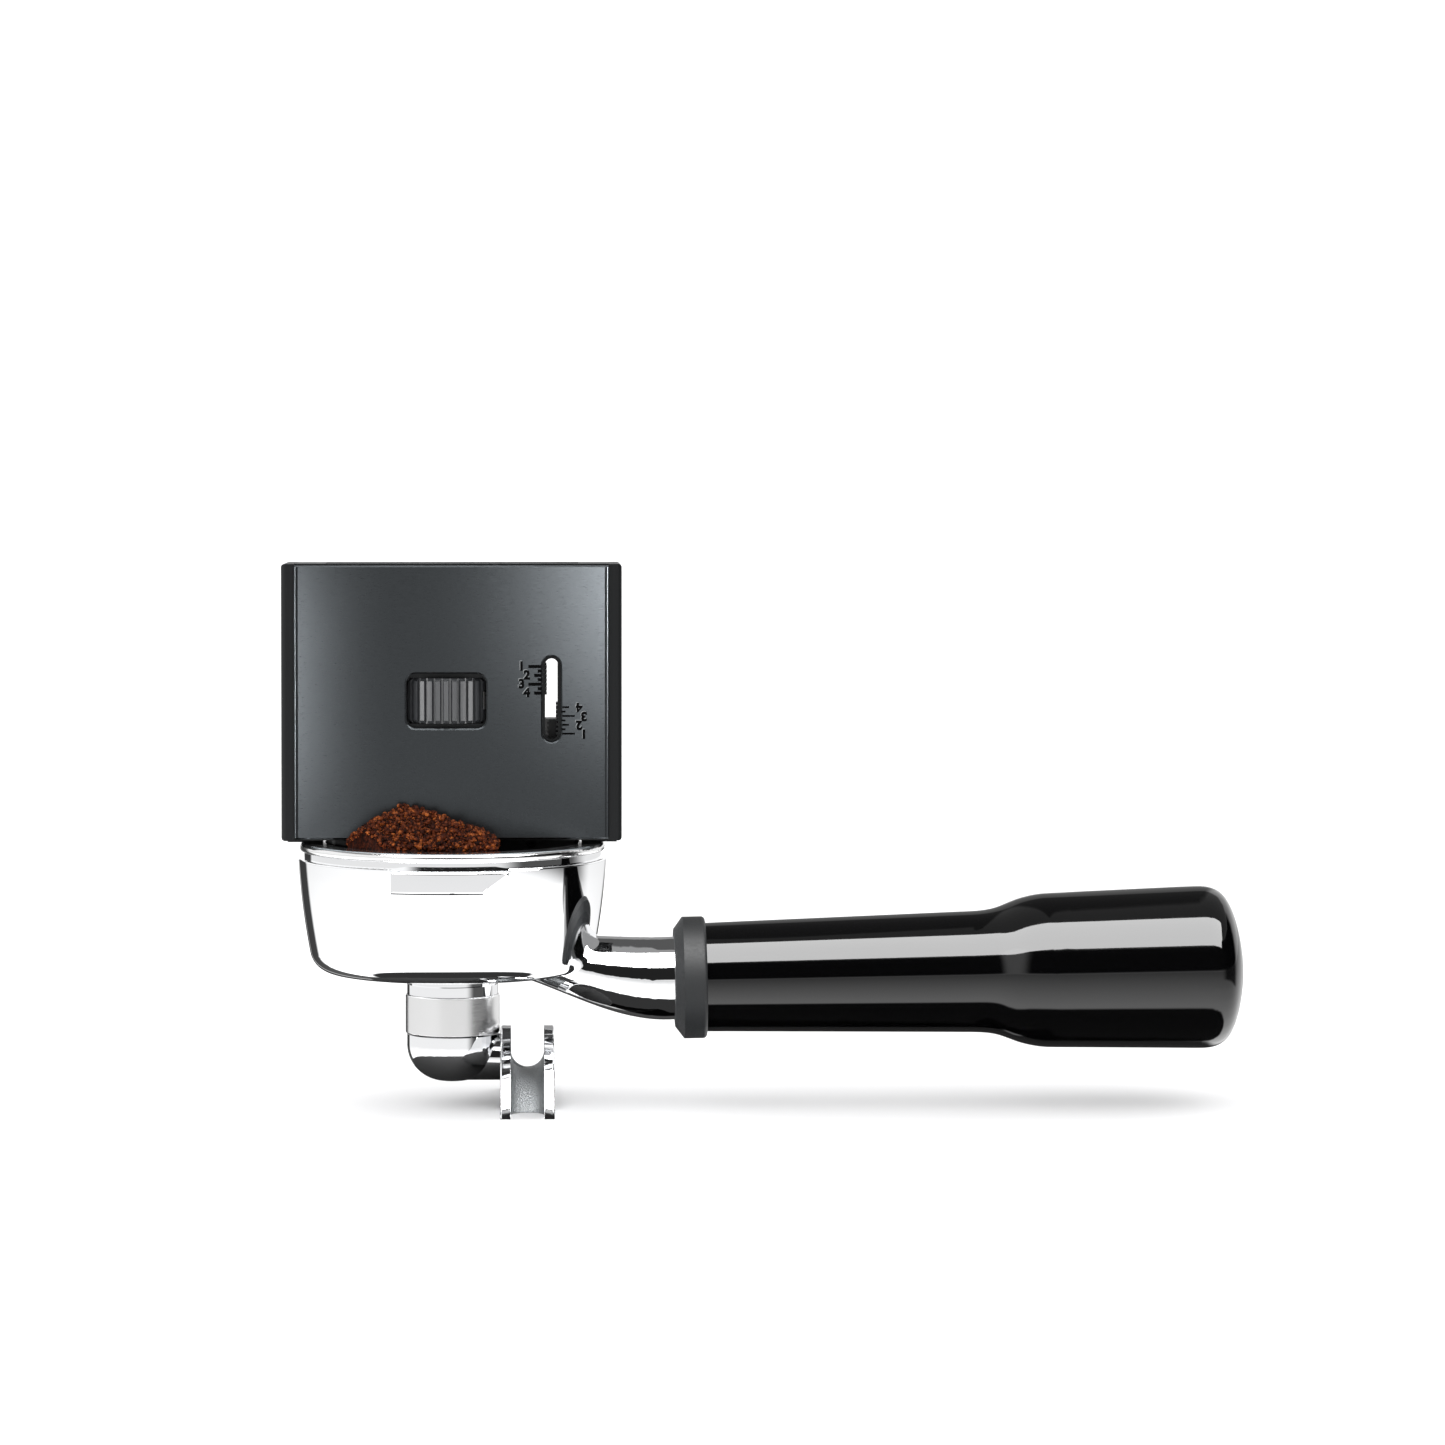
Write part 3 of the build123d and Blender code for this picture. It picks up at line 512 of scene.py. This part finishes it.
def marks(skin, facing):
    """Near-black strips drawn over the engraved marks and the slot's bevel: painted shade."""
    points, faces = [], []
    for _, first_z, step, _, side in SCALES:
        for half in range(2 * NUMBERS - 1):
            length = HALF_MARK if half % 2 else MARK_LENGTHS[half // 2 % 2]
            z = cover_low.z + first_z + half * step / 2
            row = []
            for share in np.linspace(0, 1, MARK_STEPS):
                aside = SLOT_HALF_W - BEVEL_W + share * (length + BEVEL_W)
                x = SLOT_X + side * aside
                hit = skin.ray_cast(Vector((x, facing * OUTSIDE_Y, z)), Vector((0, -facing, 0)))[0]
                if hit is None:
                    continue
                y = hit.y + facing * MARK_LIFT
                row.append(len(points))
                points += [(x, y, z - MARK_H / 2), (x, y, z + MARK_H / 2)]
            faces += [(i, j, j + 1, i + 1) for i, j in zip(row, row[1:])]
    return points, faces


for side_name, node, facing in (("front", "front_cover", -1), ("rear", "rear_cover", 1)):
    skin = surface_of(node)
    # the dark numbers and marks are painted shade on the raised scale
    add_mesh(side_name + "_numbers", *digits("number", skin, facing, 0.0, NUMBER_LIFT),
             "scale_ink", "trimmer", smooth=False)
    # a lighter copy of the numbers, shifted up and aside under the dark ones: painted highlight on their
    # edges
    add_mesh(side_name + "_number_painted_highlights", *digits("edge", skin, facing, LIGHT_SHIFT, NUMBER_LIFT / 2),
             "scale_light", "trimmer", smooth=False)
    add_mesh(side_name + "_marks", *marks(skin, facing), "scale_ink", "trimmer", smooth=False)


# ---- stage, light and camera -------------------------------------------------------------------
floor_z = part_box("double_spout")[0].z
rim_z = basket_high.z
FLOOR_SIZE = 30
CARD_R = 31 * MM
CARD_LIFT = 0.2 * MM

bpy.ops.mesh.primitive_plane_add(size=FLOOR_SIZE, location=(0, 0, floor_z))
floor = bpy.context.object
floor.name = "floor"
floor_shader = Shader("floor", (0.88, 0.88, 0.885), 0.0, 0.6, Specular_IOR_Level=0.0)
floor_shader.set("Roughness", floor_shader.ramp(floor_shader.noise(6), 0.3, 0.7, 0.5, 0.7))
floor.data.materials.append(floor_shader.material)
floor.visible_glossy = False

# dark card on the floor under the bowl, seen only in reflections: painted shade of the floor beneath the
# object, put into the reflections
bpy.ops.mesh.primitive_circle_add(vertices=64, radius=CARD_R, fill_type="NGON",
                                  location=(0, 0, floor_z + CARD_LIFT))
card = bpy.context.object
card.name = "card"
card.data.materials.append(Shader("card", (0.01, 0.01, 0.01), 0.0, 0.9).material)
card.visible_camera = False
card.visible_diffuse = False
card.visible_shadow = False


def sine(degrees):
    return math.sin(math.radians(degrees))


def studio():
    """A white room with a bright floor: dark behind the camera, dim overhead, dark floor at the rear."""
    world = bpy.data.worlds.new("studio")
    scene.world = world
    world.use_nodes = True
    tree = world.node_tree
    link = tree.links.new

    def math_node(operation, *values):
        made = tree.nodes.new("ShaderNodeMath")
        made.operation = operation
        for socket, value in zip(made.inputs, values):
            if isinstance(value, (int, float)):
                socket.default_value = value
            else:
                link(value, socket)
        return made.outputs[0]

    def step(value, low, high):
        made = tree.nodes.new("ShaderNodeMapRange")
        made.interpolation_type = "SMOOTHSTEP"
        made.inputs["From Min"].default_value = low
        made.inputs["From Max"].default_value = high
        link(value, made.inputs["Value"])
        return made.outputs["Result"]

    def window(value, low, high, soft):
        fall = math_node("SUBTRACT", 1.0, step(value, high - soft, high))
        return math_node("MULTIPLY", step(value, low, low + soft), fall)

    direction = tree.nodes.new("ShaderNodeTexCoord")
    parts = tree.nodes.new("ShaderNodeSeparateXYZ")
    link(direction.outputs["Generated"], parts.inputs["Vector"])
    x, y, z = parts.outputs
    # azimuth from the camera's side, positive to the right, in degrees
    azimuth = math_node("MULTIPLY", math_node("ARCTAN2", x, math_node("MULTIPLY", y, -1.0)), 180 / math.pi)

    around = math_node("ABSOLUTE", azimuth)
    ramp = tree.nodes.new("ShaderNodeMapRange")
    ramp.inputs["From Min"].default_value = sine(-1)
    ramp.inputs["From Max"].default_value = sine(-48)
    ramp.inputs["To Min"].default_value = WORLD_HORIZON
    ramp.inputs["To Max"].default_value = WORLD_FLOOR
    link(z, ramp.inputs["Value"])
    above = step(z, sine(-1.5), sine(-0.5))
    lower = math_node("MULTIPLY", ramp.outputs["Result"], math_node("SUBTRACT", 1.0, above))
    bright = math_node("ADD", lower, math_node("MULTIPLY", above, WORLD_WHITE))
    back = step(around, 160, 168)
    # each zone's shape, and how far it is dimmed
    dim_zones = (
        # dark behind the camera, above the horizon
        (math_node("MULTIPLY", window(azimuth, -38, 128, 16), window(z, sine(-1), sine(37), 0.05)), 0.985),
        # flag on the right
        (math_node("MULTIPLY", window(azimuth, 34, 128, 24), window(z, sine(-13), sine(37), 0.05)), 0.9),
        # flag at the left rear
        (math_node("MULTIPLY", window(azimuth, -166, -138, 5), window(z, -2.0, sine(12), 0.04)), 0.95),
        # straight behind the object, below and well above the horizon
        (math_node("MULTIPLY", back, window(z, -2.0, sine(-5), 0.04)), 0.97),
        (math_node("MULTIPLY", back, step(z, sine(10), sine(14))), 0.7),
        # overhead
        (step(z, sine(34), sine(38)), 0.7),
        # underneath
        (step(math_node("MULTIPLY", z, -1.0), sine(52), sine(56)), 0.985),
    )
    for zone, depth in dim_zones:
        kept = math_node("SUBTRACT", 1.0, math_node("MULTIPLY", zone, depth))
        bright = math_node("MULTIPLY", bright, kept)
    background = tree.nodes["Background"]
    background.inputs["Color"].default_value = (1, 1, 1, 1)
    link(bright, background.inputs["Strength"])


WORLD_WHITE = 1.12
WORLD_HORIZON = 0.7
WORLD_FLOOR = 2.4
studio()


def softbox(name, place, aim, size, radiance, diffuse=True, glossy=True):
    data = bpy.data.lights.new(name, "AREA")
    data.shape = "RECTANGLE"
    data.size, data.size_y = size
    data.energy = radiance * math.pi * size[0] * size[1]
    light = bpy.data.objects.new(name, data)
    scene.collection.objects.link(light)
    light.location = place
    light.rotation_euler = (Vector(aim) - Vector(place)).to_track_quat("-Z", "Y").to_euler()
    light.visible_diffuse = diffuse
    light.visible_glossy = glossy
    light.visible_camera = False
    return light


# the main softbox hangs over the front: the inside of the wheel's window is kept out of its gloss
overhead = softbox("overhead", (0.10, -0.33, 0.50), (0.10, 0, -0.03), (1.1, 0.50), 13, diffuse=False)
shaded = bpy.data.collections.new("shaded_from_overhead")
shaded.objects.link(wheel_shell)
for node in ("thumbwheel", "wheel_nut", "lead_screw", "frame_front"):
    shaded.objects.link(nodes[node])
for entry in shaded.collection_objects:
    entry.light_linking.link_state = "EXCLUDE"
overhead.light_linking.receiver_collection = shaded
# the soft light of the white room, for everything but gloss
sun_data = bpy.data.lights.new("sky", "SUN")
sun_data.energy = 3.8
sun_data.angle = math.radians(150)
sky = bpy.data.objects.new("sky", sun_data)
scene.collection.objects.link(sky)
sky.rotation_euler = (math.radians(8), 0, 0)
sky.visible_glossy = False



def lit_only(light, name, lit):
    """Keeps the light to these pieces."""
    group = bpy.data.collections.new(name)
    for piece in lit:
        group.objects.link(piece)
    light.light_linking.receiver_collection = group


def beam(name, place, aim, size, radiance, spread):
    """A softbox behind a honeycomb grid: its light fades towards the edges of a spread cone."""
    light = softbox(name, place, aim, size, radiance, diffuse=False)
    light.data.spread = math.radians(spread)
    half = math.radians(spread) / 2
    light.data.energy *= 1 - half / math.tan(half)
    return light


TOOL = [nodes[name] for name in ("front_cover", "rear_cover", "blade_carrier")]
TOOL += [scene.objects["front_cover_edges"], scene.objects["rear_cover_edges"]]
# two gridded softboxes shade the tool's face from its edges to its middle
lit_only(beam("right", (0.20, -0.42, 0.12), (0.046, 0, 0.058), (0.02, 0.03), 7400, 12), "right_lit", TOOL)
lit_only(beam("left", (-0.20, -0.42, 0.06), (-0.046, 0, 0.034), (0.02, 0.06), 3000, 7), "left_lit", TOOL)
WHEEL_LIGHT_AWAY = 0.8
for name, azimuth, radiance in (("front_left", -62, 9), ("front", 0, 3.5), ("front_right", 62, 10)):
    turned_by = math.radians(azimuth)
    place = (WHEEL_LIGHT_AWAY * math.sin(turned_by), -WHEEL_LIGHT_AWAY * math.cos(turned_by), 0.10)
    box = softbox(name, place, (0, 0, 0.03), (0.7, 0.3), radiance, diffuse=False)
    lit_only(box, name + "_lit", (wheel_shell,))

DISTANCE = 1.03
EYE_X = 0.017
EYE_HEIGHT = 0.088
TILT_DOWN = 1.694
TURN_RIGHT = 1.243
camera_data = bpy.data.cameras.new("camera")
camera_data.sensor_width = 36
camera_data.lens = 112.5
camera_data.clip_start = 0.01
# turned half way to the object, and shifted for the rest of the framing
camera_data.shift_x = 0.0677
camera_data.shift_y = -0.0922
camera = bpy.data.objects.new("camera", camera_data)
scene.collection.objects.link(camera)
camera.location = (EYE_X, -DISTANCE, rim_z + EYE_HEIGHT)
camera.rotation_euler = (math.radians(90 - TILT_DOWN), 0, math.radians(-TURN_RIGHT))
scene.camera = camera
scene.view_settings.view_transform = "Standard"
